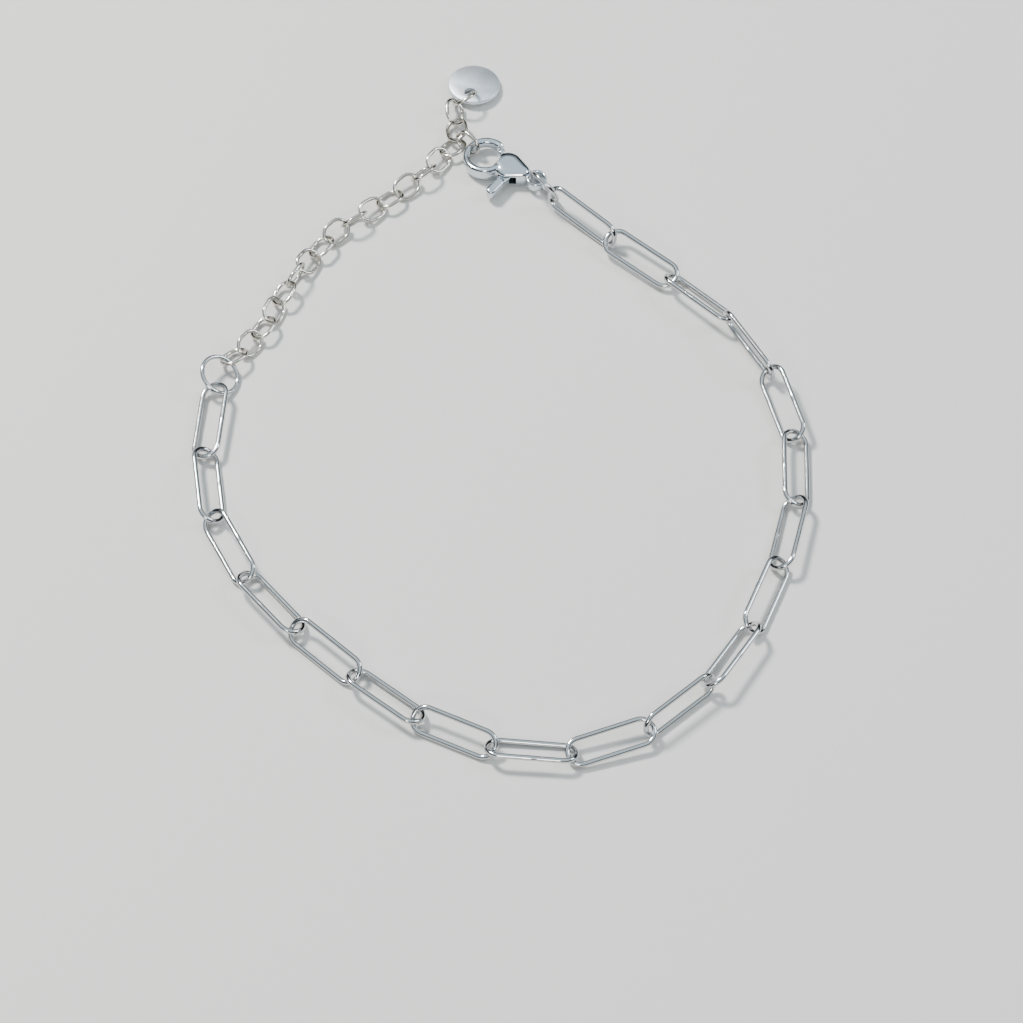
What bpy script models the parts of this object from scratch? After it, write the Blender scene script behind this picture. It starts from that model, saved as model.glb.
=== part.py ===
"""Paperclip chain bracelet with a lobster clasp, an extender and a round tag, lying in a loop.

Metres, +Z up. The origin is on the surface that the bracelet lies on, under the middle of its box.
"""

import math

import bmesh
import bpy
import numpy as np
from mathutils import Matrix, Vector

MM = 0.001

# Paperclip links
LINK_COUNT = 19
LINK_LENGTH = 9.95 * MM
LINK_WIDTH = 3.4 * MM
LINK_WIRE = 0.58 * MM
LINK_PLAY = 0.37 * MM
LINK_ARC_STEPS = 8

# Extender links
EXT_COUNT = 19
EXT_HOOKED = 17
EXT_LENGTH = 3.5 * MM
EXT_WIDTH = 2.7 * MM
EXT_WIRE = 0.42 * MM
EXT_PLAY = 0.12 * MM
EXT_ARC_STEPS = 6

# Jump rings, measured over the outside
BIG_RING_DIAMETER = 4.8 * MM
BIG_RING_WIRE = 0.5 * MM
CLASP_RING_DIAMETER = 4.6 * MM
CLASP_RING_WIRE = 0.46 * MM
TAG_RING_DIAMETER = 3.3 * MM
TAG_RING_WIRE = 0.38 * MM
TAG_RING_PLAY = 0.2 * MM
RING_STEPS = 16

# Tag
TAG_DIAMETER = 5.9 * MM
TAG_THICKNESS = 0.5 * MM
TAG_BEVEL = 0.08 * MM
TAG_HOLE_DIAMETER = 1.3 * MM
TAG_HOLE_RIM = 0.85 * MM
TAG_STEPS = 40
TAG_HOLE_STEPS = 16

# Clasp body: X runs from the middle of the claw's opening to the eye, Y to the hook's tip
CLAW_OPENING_RADIUS = 1.75 * MM
EYE_DISTANCE = 6.5 * MM
EYE_HOLE_DIAMETER = 1.5 * MM
EYE_RIM = 0.48 * MM
EYE_FLARE = 0.22 * MM
EYE_THICKNESS = 1.25 * MM
EYE_EDGE = 0.15 * MM
EYE_STEPS = 24
CLASP_THICKNESS = 2.2 * MM
HOOK_TRIM = 0.06 * MM
HOOK_ROOT_WIDTH = 0.95 * MM
HOOK_SLIM_WIDTH = 0.85 * MM
HOOK_TIP_WIDTH = 0.95 * MM
HOOK_ROOT_HEIGHT = 2.1 * MM
HOOK_SLIM_HEIGHT = 1.1 * MM
HOOK_TIP_HEIGHT = 1.3 * MM
HOOK_SLIM_SHARE = 0.6
HOOK_TIP_CLOSE = 0.45
HOOK_ROOT_ANGLE = -22.0
HOOK_TIP_ANGLE = -296.0
HOOK_STATIONS = 20
CLAW_STEPS = 36
CLAW_START = 0.03
BODY_RADIUS = 1.8 * MM
BODY_CENTRE_X = 2.85 * MM
NECK_RADIUS = 0.95 * MM
NECK_TO_EYE = 1.8 * MM
BODY_EDGE = 0.3 * MM
BODY_CORNER_STEPS = 12
CUT_OVER = 1.0 * MM
CLASP_GAP = 0.1 * MM

# Clasp lever and pin
LEVER_THICKNESS = 0.9 * MM
PIVOT_X = 3.45 * MM
PIVOT_Y = -0.3 * MM
PIN_DIAMETER = 0.6 * MM
PIN_SEAT = 0.3 * MM
PIN_GAP = 0.05 * MM
PIN_STEPS = 16
HUB_RADIUS = 0.64 * MM
GATE_KNOB_RADIUS = 0.42 * MM
GATE_KNOB_OUT = 0.1 * MM
GATE_KNOB_STEPS = 14
GATE_KNOB_ANGLE = 44.0
GATE_KNOB_HEIGHT = 1.5 * MM
GATE_ARM_WIDTH = 0.6 * MM
SLOT_LEFT = 1.25 * MM
SLOT_TOP_WIDTH = 0.5 * MM
TAB_LENGTH = 3.65 * MM
TAB_TIP_RADIUS = 0.6 * MM
TAB_HEIGHT = 1.3 * MM
TAB_ANGLE = -99.0
TAB_CLEARANCE = 0.2 * MM
LEVER_EDGE = 0.15 * MM
LEVER_CORNER_STEPS = 8
LEVER_SWING = 28.0

# Lying: small lift of every loose wire over the surface, and how far a low end is lifted to a high one
LIFT = 0.02 * MM
JOINT_LIFT = 0.76

# The link on the claw's hook: where it sits, its roll, and where its two neighbours wrap it
HOOKED_ANGLE = 166.0
HOOKED_ROLL = -72.0
HOOKED_GRIP = 0.25 * MM
HOOKED_IN_ANGLE = 48.0
HOOKED_OUT_ANGLE = 0.0

# Where the last extender link and the tag's hole hold the tag ring
TAG_RING_IN_ANGLE = 180.0
TAG_RING_OUT_ANGLE = 32.0

# The loop's route, seen from above, in millimetres, clockwise from the clasp's eye
ROUTE = [
    (2.8, 43.7), (5.1, 40.5), (11.3, 35.1), (18.0, 29.8), (23.8, 24.3), (28.0, 17.4),
    (30.6, 9.0), (30.4, 0.3), (28.2, -8.2), (24.6, -16.5), (19.6, -23.5), (13.5, -28.3),
    (6.3, -30.5), (-1.5, -30.0), (-9.1, -26.7), (-16.0, -21.4), (-22.5, -15.5), (-28.1, -8.9),
    (-31.9, -1.5), (-33.0, 6.8), (-32.2, 15.0), (-31.2, 18.7), (-29.4, 20.4), (-27.1, 23.6),
    (-25.0, 28.4), (-22.6, 32.3), (-19.9, 36.3), (-16.6, 38.9), (-13.1, 41.8), (-8.6, 46.0),
    (-7.3, 46.5), (-7.0, 49.9),
]
ROUTE_STEPS = 24

# Rolls about the chain's line, in degrees: a positive roll lifts the side outside the loop
LINK_ROLLS = [74, 18, -40, 97, 38, -29, 34, -44, 42, -74, -14, 26, -38, 26, -38, 26, -38, 33, -22]
BIG_RING_ROLL = 31
EXT_ROLLS = [-28, 38, -26, 40, -26, -84, 30, -26, 38, -62, 28, -24, 24, -48, 31, -17]
CLASP_RING_ROLL = -70

# The free end beyond the claw: heading from the clasp's own X axis, and roll, in degrees
FREE_END = {
    "ext_18": {"heading": 128.0, "roll": -24.0},
    "ext_19": {"heading": 122.0, "roll": 42.0},
    "tag_ring": {"heading": 68.0, "roll": -50.0},
    "tag": {"heading": 103.0},
}

SHARP_ANGLE = 35.0

# Outlines of the upright sides, as shares: how high, and how much of the edge the outline draws in
BODY_SIDE = [
    {"edge_up": 0.0, "draws_in": 0.7},
    {"edge_up": 0.7, "draws_in": 0.0},
    {"edge_down": 2.0, "draws_in": 0.0},
    {"edge_down": 1.0, "draws_in": 0.4},
    {"edge_down": 0.35, "draws_in": 1.3},
    {"edge_down": 0.0, "draws_in": 2.6},
]

# The hook's section, as shares of its width, from the inside out, and of its height
HOOK_CORNERS = [
    {"out": 0.0, "up": 0.3}, {"out": 0.25, "up": 0.5}, {"out": 0.75, "up": 0.5}, {"out": 1.0, "up": 0.3},
    {"out": 1.0, "up": -0.3}, {"out": 0.75, "up": -0.5}, {"out": 0.25, "up": -0.5}, {"out": 0.0, "up": -0.3},
]

# Looks of the metal
FINISHES = {
    "link": {"colour": (0.74, 0.76, 0.78), "roughness": 0.16},
    "ext": {"colour": (0.78, 0.78, 0.74), "roughness": 0.2},
    "big_ring": {"colour": (0.74, 0.76, 0.78), "roughness": 0.16},
    "clasp_ring": {"colour": (0.74, 0.76, 0.78), "roughness": 0.16},
    "tag_ring": {"colour": (0.78, 0.78, 0.74), "roughness": 0.2},
    "clasp_body": {"colour": (0.72, 0.78, 0.83), "roughness": 0.12},
    "clasp_lever": {"colour": (0.75, 0.8, 0.84), "roughness": 0.14},
    "clasp_pin": {"colour": (0.74, 0.76, 0.78), "roughness": 0.25},
    "tag": {"colour": (0.62, 0.68, 0.76), "roughness": 0.3},
}


# Materials

def steel(kind):
    """The metal of one kind of piece."""
    colour = (*FINISHES[kind]["colour"], 1.0)
    material = bpy.data.materials.new(kind.replace("_", " ") + " steel")
    material.use_nodes = True
    shader = material.node_tree.nodes["Principled BSDF"]
    shader.inputs["Base Color"].default_value = colour
    shader.inputs["Metallic"].default_value = 1.0
    shader.inputs["Roughness"].default_value = FINISHES[kind]["roughness"]
    material.diffuse_color = colour
    return material


# Wire loops

def stadium(length, width, arc_steps):
    """Centre line of a loop with straight sides and round ends, in its own plane."""
    radius = width / 2
    straight = length / 2 - radius
    points = []
    for end in (0, 1):
        for step in range(arc_steps + 1):
            angle = math.pi * (step / arc_steps - 0.5 + end)
            x = (straight if end == 0 else -straight) + radius * math.cos(angle)
            points.append((x, radius * math.sin(angle)))
    if straight < 1e-9:
        points = points[:arc_steps] + points[arc_steps + 1:-1]
    return points


def wire_curve(name, points, wire, material):
    curve = bpy.data.curves.new(name, "CURVE")
    curve.dimensions = "3D"
    curve.bevel_depth = wire / 2
    curve.bevel_resolution = 1
    spline = curve.splines.new("POLY")
    spline.points.add(len(points) - 1)
    for point, (x, y) in zip(spline.points, points):
        point.co = (x, y, 0.0, 1.0)
    spline.use_cyclic_u = True
    curve.materials.append(material)
    return curve


def place(name, data, matrix):
    piece = bpy.data.objects.new(name, data)
    piece.matrix_world = matrix
    bpy.context.scene.collection.objects.link(piece)
    return piece


def axes_matrix(centre, along, side):
    up = np.cross(along, side)
    matrix = Matrix.Identity(4)
    for column, axis in enumerate((along, side, up)):
        matrix.col[column][:3] = axis
    matrix.col[3][:3] = centre
    return matrix


def loop_frame(start, end, roll):
    """Middle and axes of a loop whose long axis runs from start to end."""
    start = np.array(start)
    end = np.array(end)
    along = (end - start) / np.linalg.norm(end - start)
    level = np.array([-along[1], along[0], 0.0])
    level /= np.linalg.norm(level)
    up = np.cross(along, level)
    turn = math.radians(roll)
    side = level * math.cos(turn) + up * math.sin(turn)
    return (start + end) / 2, along, side


# Where every piece lies

def closed_curve(points, steps):
    """Smooth closed curve through the chosen points, as a fine polyline."""
    points = np.array(points)
    count = len(points)
    fine = []
    for i in range(count):
        before, first, second, after = (points[(i + k) % count] for k in (-1, 0, 1, 2))
        for step in range(steps):
            t = step / steps
            fine.append(
                0.5 * (2 * first + (second - before) * t
                       + (2 * before - 5 * first + 4 * second - after) * t ** 2
                       + (3 * first - 3 * second + after - before) * t ** 3)
            )
    return np.array(fine)


def walk(curve, pitches):
    """Lays straight pitches end to end along a closed polyline. Gives the joints and the way left."""
    count = len(curve)
    joints = [curve[0]]
    segment = 0
    for pitch in pitches:
        here = joints[-1]
        while np.linalg.norm(curve[(segment + 1) % count] - here) < pitch:
            segment += 1
        first = curve[segment % count]
        run = curve[(segment + 1) % count] - first
        back = first - here
        a = run @ run
        b = back @ run
        c = back @ back - pitch ** 2
        share = (-b + math.sqrt(b * b - a * c)) / a
        joints.append(first + share * run)
    return np.array(joints), segment + share - count


def closing_scale(pitches):
    """The scale of the route at which the pieces just close it."""
    low, high = 0.3, 3.0
    for _ in range(60):
        middle = (low + high) / 2
        curve = closed_curve(ROUTE, ROUTE_STEPS) * MM * middle
        _, over = walk(curve, pitches)
        if over > 0:
            low = middle
        else:
            high = middle
    return (low + high) / 2


def level_height(width, wire, roll):
    """Height of the middle of a rolled loop that touches the surface."""
    return (width - wire) / 2 * abs(math.sin(math.radians(roll))) + wire / 2 + LIFT


def lifted(own, neighbour):
    return own + JOINT_LIFT * max(neighbour - own, 0.0)


def reach(wire, play):
    """How far a loop's centre line runs past the point where it meets the next one."""
    return (wire + play) / 2


class Piece:
    """One wire loop of the chain: its size, its roll and how far it runs past its two joints."""

    def __init__(self, name, length, width, wire, roll, play_before, play_after):
        self.name = name
        self.length = length
        self.width = width
        self.wire = wire
        self.roll = roll
        self.before = reach(wire, play_before)
        self.after = reach(wire, play_after)
        self.height = level_height(width, wire, roll)

    def pitch(self):
        return self.length - self.wire - self.before - self.after

    def lay(self, start, end):
        self.centre, self.along, self.side = loop_frame(start, end, self.roll)
        self.centre = self.centre + self.along * (self.after - self.before) / 2

    def lay_level(self, heading):
        """Level long axis in this direction, and the middle over the origin."""
        along = np.array([math.cos(heading), math.sin(heading), 0.0])
        self.lay(-along, along)
        self.centre = np.array([0.0, 0.0, self.height])

    def point(self, degrees):
        """From the middle to the centre line, by the angle round the far end or the near end."""
        radius = (self.width - self.wire) / 2
        straight = (self.length - self.wire) / 2 - radius
        angle = math.radians(degrees)
        far = math.copysign(straight, math.cos(angle)) + radius * math.cos(angle)
        return self.along * far + self.side * radius * math.sin(angle)


def chain_pieces():
    """Every loop from the clasp's eye to the link that the claw holds, in order."""
    pieces = [Piece("clasp_ring", CLASP_RING_DIAMETER, CLASP_RING_DIAMETER, CLASP_RING_WIRE,
                    CLASP_RING_ROLL, LINK_PLAY, LINK_PLAY)]
    for i, roll in enumerate(LINK_ROLLS[:LINK_COUNT]):
        pieces.append(Piece(f"link_{i + 1:02d}", LINK_LENGTH, LINK_WIDTH, LINK_WIRE,
                            roll, LINK_PLAY, LINK_PLAY))
    pieces.append(Piece("big_ring", BIG_RING_DIAMETER, BIG_RING_DIAMETER, BIG_RING_WIRE,
                        BIG_RING_ROLL, LINK_PLAY, EXT_PLAY))
    for i, roll in enumerate(EXT_ROLLS[:EXT_HOOKED - 1]):
        pieces.append(Piece(f"ext_{i + 1:02d}", EXT_LENGTH, EXT_WIDTH, EXT_WIRE,
                            roll, EXT_PLAY, EXT_PLAY))
    return pieces


def eye_angle(ring):
    """Where the clasp ring's wire passes the eye, which is lower than the ring's middle."""
    drop = (ring.height - CLASP_THICKNESS / 2) / (ring.width - ring.wire) * 2
    return 180 - math.degrees(math.asin(drop / math.sin(math.radians(-ring.roll))))


def eye_chord(ring):
    """From the eye to the clasp ring's joint with the first link, for a ring that heads along X."""
    ring.lay_level(0.0)
    far = ring.along * ((ring.length - ring.wire) / 2 - ring.after)
    return far - ring.point(eye_angle(ring))


def extender_link(number, roll):
    return Piece(f"ext_{number:02d}", EXT_LENGTH, EXT_WIDTH, EXT_WIRE, roll, EXT_PLAY, EXT_PLAY)


def hooked_link(turn):
    """The steep link on the claw's hook, from the middle of the claw's opening."""
    piece = extender_link(EXT_HOOKED, HOOKED_ROLL)
    piece.lay_level(turn + math.radians(HOOKED_ANGLE))
    inner = CLAW_OPENING_RADIUS - HOOKED_GRIP - EXT_WIRE / 2
    piece.centre = piece.centre + piece.along * (inner + (EXT_LENGTH - EXT_WIRE) / 2)
    return piece


def lay_chain():
    """Lays the closed loop, then the link on the hook and the free end. Gives pieces and clasp."""
    pieces = chain_pieces()
    pieces[-1].after = EXT_WIRE + EXT_PLAY
    trial = hooked_link(0.0)
    hold_x, hold_y, hold_height = trial.centre + trial.point(HOOKED_IN_ANGLE)
    clasp_span = math.hypot(EYE_DISTANCE - hold_x, hold_y)
    chord = eye_chord(pieces[0])
    pitches = [math.hypot(chord[0], chord[1])]
    pitches += [piece.pitch() for piece in pieces[1:]] + [clasp_span]
    curve = closed_curve(ROUTE, ROUTE_STEPS) * MM * closing_scale(pitches)
    joints, _ = walk(curve, pitches)
    eye, hold = joints[0], joints[-2]

    # The clasp's own frame, from its eye and the point where the chain wraps the link on the hook
    across = eye - hold
    turn = math.atan2(across[1], across[0]) - math.atan2(-hold_y, EYE_DISTANCE - hold_x)
    origin = eye - EYE_DISTANCE * np.array([math.cos(turn), math.sin(turn)])
    hooked = hooked_link(turn)
    hooked.centre = hooked.centre + np.array([*origin, 0.0])

    # Heights at the joints: each piece lies on the surface, its ends lifted towards higher neighbours
    for i, piece in enumerate(pieces[1:], start=1):
        start_height = lifted(piece.height, pieces[i - 1].height)
        end_height = hold_height
        if i + 1 < len(pieces):
            end_height = lifted(piece.height, pieces[i + 1].height)
        piece.lay((*joints[i], start_height), (*joints[i + 1], end_height))

    # The clasp ring stands in the eye
    ring = pieces[0]
    way = joints[1] - eye
    ring.lay_level(math.atan2(way[1], way[0]) - math.atan2(chord[1], chord[0]))
    ring.centre = np.array([*eye, CLASP_THICKNESS / 2]) - ring.point(eye_angle(ring))
    free, tag_hold = lay_free_end(hooked, turn)
    return pieces + [hooked] + free, {"origin": origin, "turn": turn, "tag": tag_hold}


def lay_free_end(hooked, turn):
    """The last extender links and the tag ring, beyond the claw. Gives them and the tag's hold."""
    free = [extender_link(i, FREE_END[f"ext_{i:02d}"]["roll"])
            for i in range(EXT_HOOKED + 1, EXT_COUNT + 1)]
    ring = Piece("tag_ring", TAG_RING_DIAMETER, TAG_RING_DIAMETER, TAG_RING_WIRE,
                 FREE_END["tag_ring"]["roll"], EXT_PLAY, EXT_PLAY)
    ring.lay_level(turn + math.radians(FREE_END["tag_ring"]["heading"]))
    to_start = ring.point(TAG_RING_IN_ANGLE)
    free[0].before = EXT_WIRE + EXT_PLAY
    free[-1].after = (EXT_WIRE + TAG_RING_WIRE) / 2 + TAG_RING_PLAY
    here = hooked.centre + hooked.point(HOOKED_OUT_ANGLE)
    for i, piece in enumerate(free):
        heading = turn + math.radians(FREE_END[piece.name]["heading"])
        end_height = ring.height + to_start[2]
        if i + 1 < len(free):
            end_height = lifted(piece.height, free[i + 1].height)
        step = piece.pitch() * np.array([math.cos(heading), math.sin(heading)])
        there = np.array([*(here[:2] + step), end_height])
        piece.lay(here, there)
        here = there
    ring.centre = here - to_start
    return free + [ring], ring.centre + ring.point(TAG_RING_OUT_ANGLE)


# Solids of the clasp and the tag

def mesh_object(name, bm, matrix, material=None):
    bmesh.ops.recalc_face_normals(bm, faces=bm.faces[:])
    mesh = bpy.data.meshes.new(name)
    bm.to_mesh(mesh)
    bm.free()
    mesh.shade_smooth()
    mesh.set_sharp_from_angle(angle=math.radians(SHARP_ANGLE))
    if material:
        mesh.materials.append(material)
    return place(name, mesh, matrix)


def skin(bm, rings, closed_path=False):
    """Joins rings of points into one closed skin, with end caps unless the path is closed."""
    rows = [[bm.verts.new(point) for point in ring] for ring in rings]
    sides = len(rows[0])
    pairs = list(zip(rows, rows[1:]))
    if closed_path:
        pairs.append((rows[-1], rows[0]))
    for first, second in pairs:
        for i in range(sides):
            j = (i + 1) % sides
            bm.faces.new((first[i], first[j], second[j], second[i]))
    if not closed_path:
        bm.faces.new(rows[0])
        bm.faces.new(list(reversed(rows[-1])))


def cutter(name, outline, bottom, top, matrix):
    """Upright prism used to cut another solid."""
    bm = bmesh.new()
    skin(bm, [[(x, y, z) for x, y in outline] for z in (bottom, top)])
    piece = mesh_object(name, bm, matrix)
    piece.hide_render = True
    piece.display_type = "WIRE"
    return piece


def circle(x, y, radius, steps, start=0.0):
    return [(x + radius * math.cos(start + 2 * math.pi * i / steps),
             y + radius * math.sin(start + 2 * math.pi * i / steps)) for i in range(steps)]


def arc(x, y, radius, first, last, steps):
    angles = [math.radians(first + (last - first) * i / steps) for i in range(steps + 1)]
    return [(x + radius * math.cos(a), y + radius * math.sin(a)) for a in angles]


def capsule(x0, y0, r0, x1, y1, r1, steps):
    """Outline round two circles, joined by their outer tangents."""
    distance = math.hypot(x1 - x0, y1 - y0)
    way = math.degrees(math.atan2(y1 - y0, x1 - x0))
    lean = math.degrees(math.acos((r0 - r1) / distance))
    return (arc(x0, y0, r0, way + lean, way + 360 - lean, steps)
            + arc(x1, y1, r1, way - lean, way + lean, steps))


def boolean(target, tool, operation):
    modifier = target.modifiers.new(tool.name, "BOOLEAN")
    modifier.operation = operation
    modifier.object = tool
    modifier.solver = "EXACT"


def helper(piece):
    piece.hide_render = True
    piece.display_type = "WIRE"
    return piece


def domed_plate(name, outline_at, heights, matrix, material=None):
    """A plate whose outline draws in towards its top and bottom."""
    bm = bmesh.new()
    skin(bm, [[(x, y, z) for x, y in outline_at(inset)] for z, inset in heights])
    return mesh_object(name, bm, matrix, material)


def hook_section(share):
    """Radial width and height of the hook, share 0 at its root and 1 at its tip."""
    if share < HOOK_SLIM_SHARE:
        t = math.sin(math.pi / 2 * share / HOOK_SLIM_SHARE) ** 2
        width = HOOK_ROOT_WIDTH + (HOOK_SLIM_WIDTH - HOOK_ROOT_WIDTH) * t
        height = HOOK_ROOT_HEIGHT + (HOOK_SLIM_HEIGHT - HOOK_ROOT_HEIGHT) * t
    else:
        t = (share - HOOK_SLIM_SHARE) / (1 - HOOK_SLIM_SHARE)
        width = HOOK_SLIM_WIDTH + (HOOK_TIP_WIDTH - HOOK_SLIM_WIDTH) * t
        height = HOOK_SLIM_HEIGHT + (HOOK_TIP_HEIGHT - HOOK_SLIM_HEIGHT) * t
    return width, height


def hook_rings():
    """Eight-sided sections round the claw's opening, from the body to the rounded tip."""
    middle = CLASP_THICKNESS / 2
    rings = []
    for i in range(HOOK_STATIONS + 1):
        share = i / HOOK_STATIONS
        angle = math.radians(HOOK_ROOT_ANGLE + (HOOK_TIP_ANGLE - HOOK_ROOT_ANGLE) * share)
        width, height = hook_section(share)
        close = HOOK_TIP_CLOSE if i == HOOK_STATIONS else 1.0
        ring = []
        for corner in HOOK_CORNERS:
            out = 0.5 + (corner["out"] - 0.5) * close
            radius = CLAW_OPENING_RADIUS - HOOK_TRIM + out * (width + HOOK_TRIM)
            ring.append((radius * math.cos(angle), radius * math.sin(angle),
                         middle + corner["up"] * close * height))
        rings.append(ring)
    return rings


def knob_centre():
    angle = math.radians(GATE_KNOB_ANGLE)
    radius = CLAW_OPENING_RADIUS + GATE_KNOB_OUT
    return radius * math.cos(angle), radius * math.sin(angle)


def tab_end():
    angle = math.radians(TAB_ANGLE)
    return PIVOT_X + TAB_LENGTH * math.cos(angle), PIVOT_Y + TAB_LENGTH * math.sin(angle)


def beside_tab(distance, hand):
    """A point clear of the closed thumb tab's edge, on its claw side (1) or its eye side (-1)."""
    angle = math.radians(TAB_ANGLE)
    c, s = math.cos(angle), math.sin(angle)
    half = hand * (HUB_RADIUS + CLASP_GAP)
    return PIVOT_X + distance * c + half * s, PIVOT_Y + distance * s - half * c


def turned(x, y, degrees):
    """A point of the lever, swung about the pin."""
    angle = math.radians(degrees)
    dx, dy = x - PIVOT_X, y - PIVOT_Y
    return (PIVOT_X + dx * math.cos(angle) - dy * math.sin(angle),
            PIVOT_Y + dx * math.sin(angle) + dy * math.cos(angle))


def edged(half, edge):
    """Heights about the middle of an upright side with one bevel at its foot and one at its top."""
    return (-half, edge), (-half + edge, 0.0), (half - edge, 0.0), (half, edge)


def raised(outline, heights, middle):
    """One flat outline at each of these heights about the middle, as rings."""
    return [[(x, y, middle + z) for x, y in outline] for z in heights]


def body_heights():
    heights = []
    for row in BODY_SIDE:
        if "edge_up" in row:
            height = row["edge_up"] * BODY_EDGE
        else:
            height = CLASP_THICKNESS - row["edge_down"] * BODY_EDGE
        heights.append((height, row["draws_in"] * BODY_EDGE))
    return heights


def build_clasp_body(matrix):
    middle = CLASP_THICKNESS / 2
    neck_x = EYE_DISTANCE - NECK_TO_EYE

    def outline_at(inset):
        neck_inset = min(inset, NECK_RADIUS - BODY_EDGE / 2)
        return capsule(BODY_CENTRE_X, 0, BODY_RADIUS - inset, neck_x, 0, NECK_RADIUS - neck_inset,
                       BODY_CORNER_STEPS)

    body = domed_plate("clasp_body", outline_at, body_heights(), matrix, steel("clasp_body"))
    bm = bmesh.new()
    skin(bm, hook_rings())
    boolean(body, helper(mesh_object("hook_shape", bm, matrix)), "UNION")

    # The claw's opening, and room for the gate's knob
    top = CLASP_THICKNESS + CUT_OVER
    opening = cutter("opening_cutter", circle(0, 0, CLAW_OPENING_RADIUS, CLAW_STEPS, CLAW_START),
                     -CUT_OVER, top, matrix)
    boolean(body, opening, "DIFFERENCE")
    knob = knob_centre()
    room = cutter("knob_cutter", circle(*knob, GATE_KNOB_RADIUS + CLASP_GAP, GATE_KNOB_STEPS),
                  -CUT_OVER, top, matrix)
    boolean(body, room, "DIFFERENCE")

    def eye_at(inset):
        return circle(EYE_DISTANCE, 0, EYE_HOLE_DIAMETER / 2 + EYE_RIM - inset, EYE_STEPS)

    eye_heights = [(middle + z, inset) for z, inset in edged(EYE_THICKNESS / 2, EYE_EDGE)]
    boolean(body, helper(domed_plate("eye_shape", eye_at, eye_heights, matrix)), "UNION")

    # The eye's hole widens towards both faces
    def hole_at(more):
        return circle(EYE_DISTANCE, 0, EYE_HOLE_DIAMETER / 2 + more, EYE_STEPS)

    straight = EYE_THICKNESS / 2 - EYE_FLARE * 2
    hole_heights = [(middle + z, more) for z, more in (
        (-EYE_THICKNESS / 2 - EYE_EDGE, EYE_FLARE + EYE_EDGE / 2), (-straight, 0.0),
        (straight, 0.0), (EYE_THICKNESS / 2 + EYE_EDGE, EYE_FLARE + EYE_EDGE / 2))]
    boolean(body, helper(domed_plate("eye_cutter", hole_at, hole_heights, matrix)), "DIFFERENCE")

    # The slot that the lever swings in, open to the claw and at the body's lower edge
    slot_half = LEVER_THICKNESS / 2 + CLASP_GAP
    wall = HUB_RADIUS + CLASP_GAP
    above = BODY_RADIUS + CUT_OVER
    slot_outline = [
        (SLOT_LEFT, PIVOT_Y - wall),
        (SLOT_LEFT, above),
        (SLOT_LEFT + SLOT_TOP_WIDTH, above),
        (PIVOT_X + wall, PIVOT_Y + wall / 2),
        turned(*beside_tab(0.0, -1), LEVER_SWING),
        turned(*beside_tab(TAB_LENGTH, -1), LEVER_SWING),
        beside_tab(TAB_LENGTH, 1),
        beside_tab(wall, 1),
    ]
    slot = cutter("slot_cutter", slot_outline, middle - slot_half, middle + slot_half, matrix)
    boolean(body, slot, "DIFFERENCE")
    seat = slot_half + PIN_SEAT
    pin_seat = cutter("pin_cutter", circle(PIVOT_X, PIVOT_Y, PIN_DIAMETER / 2 + PIN_GAP, PIN_STEPS),
                      middle - seat, middle + seat, matrix)
    boolean(body, pin_seat, "DIFFERENCE")
    return body


def build_clasp_lever(matrix):
    middle = CLASP_THICKNESS / 2
    half = LEVER_THICKNESS / 2
    knob = knob_centre()
    end = tab_end()

    bm = bmesh.new()
    arm = capsule(PIVOT_X, PIVOT_Y, HUB_RADIUS, *knob, GATE_ARM_WIDTH / 2, LEVER_CORNER_STEPS)
    skin(bm, raised(arm, (-half, half), middle))
    lever = mesh_object("clasp_lever", bm, matrix, steel("clasp_lever"))

    bm = bmesh.new()
    tab = capsule(PIVOT_X, PIVOT_Y, HUB_RADIUS, *end, TAB_TIP_RADIUS, LEVER_CORNER_STEPS)
    skin(bm, raised(tab, (-half, half), middle))
    boolean(lever, helper(mesh_object("tab_shape", bm, matrix)), "UNION")

    # Outside the body the thumb tab is thicker, and so is the knob that meets the hook's tip
    down = (end[0] - PIVOT_X) / TAB_LENGTH, (end[1] - PIVOT_Y) / TAB_LENGTH
    out = BODY_RADIUS + PIVOT_Y + TAB_CLEARANCE + TAB_TIP_RADIUS
    start = PIVOT_X + down[0] * out, PIVOT_Y + down[1] * out

    def paddle_at(inset):
        radius = TAB_TIP_RADIUS - inset
        return capsule(*start, radius, *end, radius, LEVER_CORNER_STEPS)

    paddle_heights = [(middle + z, inset) for z, inset in edged(TAB_HEIGHT / 2, LEVER_EDGE)]
    boolean(lever, helper(domed_plate("paddle_shape", paddle_at, paddle_heights, matrix)), "UNION")

    def knob_at(inset):
        return circle(*knob, GATE_KNOB_RADIUS - inset, GATE_KNOB_STEPS)

    knob_heights = [(middle + z, inset) for z, inset in edged(GATE_KNOB_HEIGHT / 2, LEVER_EDGE)]
    boolean(lever, helper(domed_plate("knob_shape", knob_at, knob_heights, matrix)), "UNION")
    bore = cutter("bore_cutter", circle(PIVOT_X, PIVOT_Y, PIN_DIAMETER / 2 + PIN_GAP, PIN_STEPS),
                  middle - half - CUT_OVER, middle + half + CUT_OVER, matrix)
    boolean(lever, bore, "DIFFERENCE")

    # The lever's origin lies on the pin's axis
    axis = Vector((PIVOT_X, PIVOT_Y, middle))
    lever.data.transform(Matrix.Translation(-axis))
    lever.matrix_world = matrix @ Matrix.Translation(axis)
    return lever


def build_clasp_pin(matrix):
    half = LEVER_THICKNESS / 2 + CLASP_GAP + PIN_SEAT - PIN_GAP
    bm = bmesh.new()
    skin(bm, raised(circle(PIVOT_X, PIVOT_Y, PIN_DIAMETER / 2, PIN_STEPS), (-half, half), CLASP_THICKNESS / 2))
    return mesh_object("clasp_pin", bm, matrix, steel("clasp_pin"))


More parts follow.
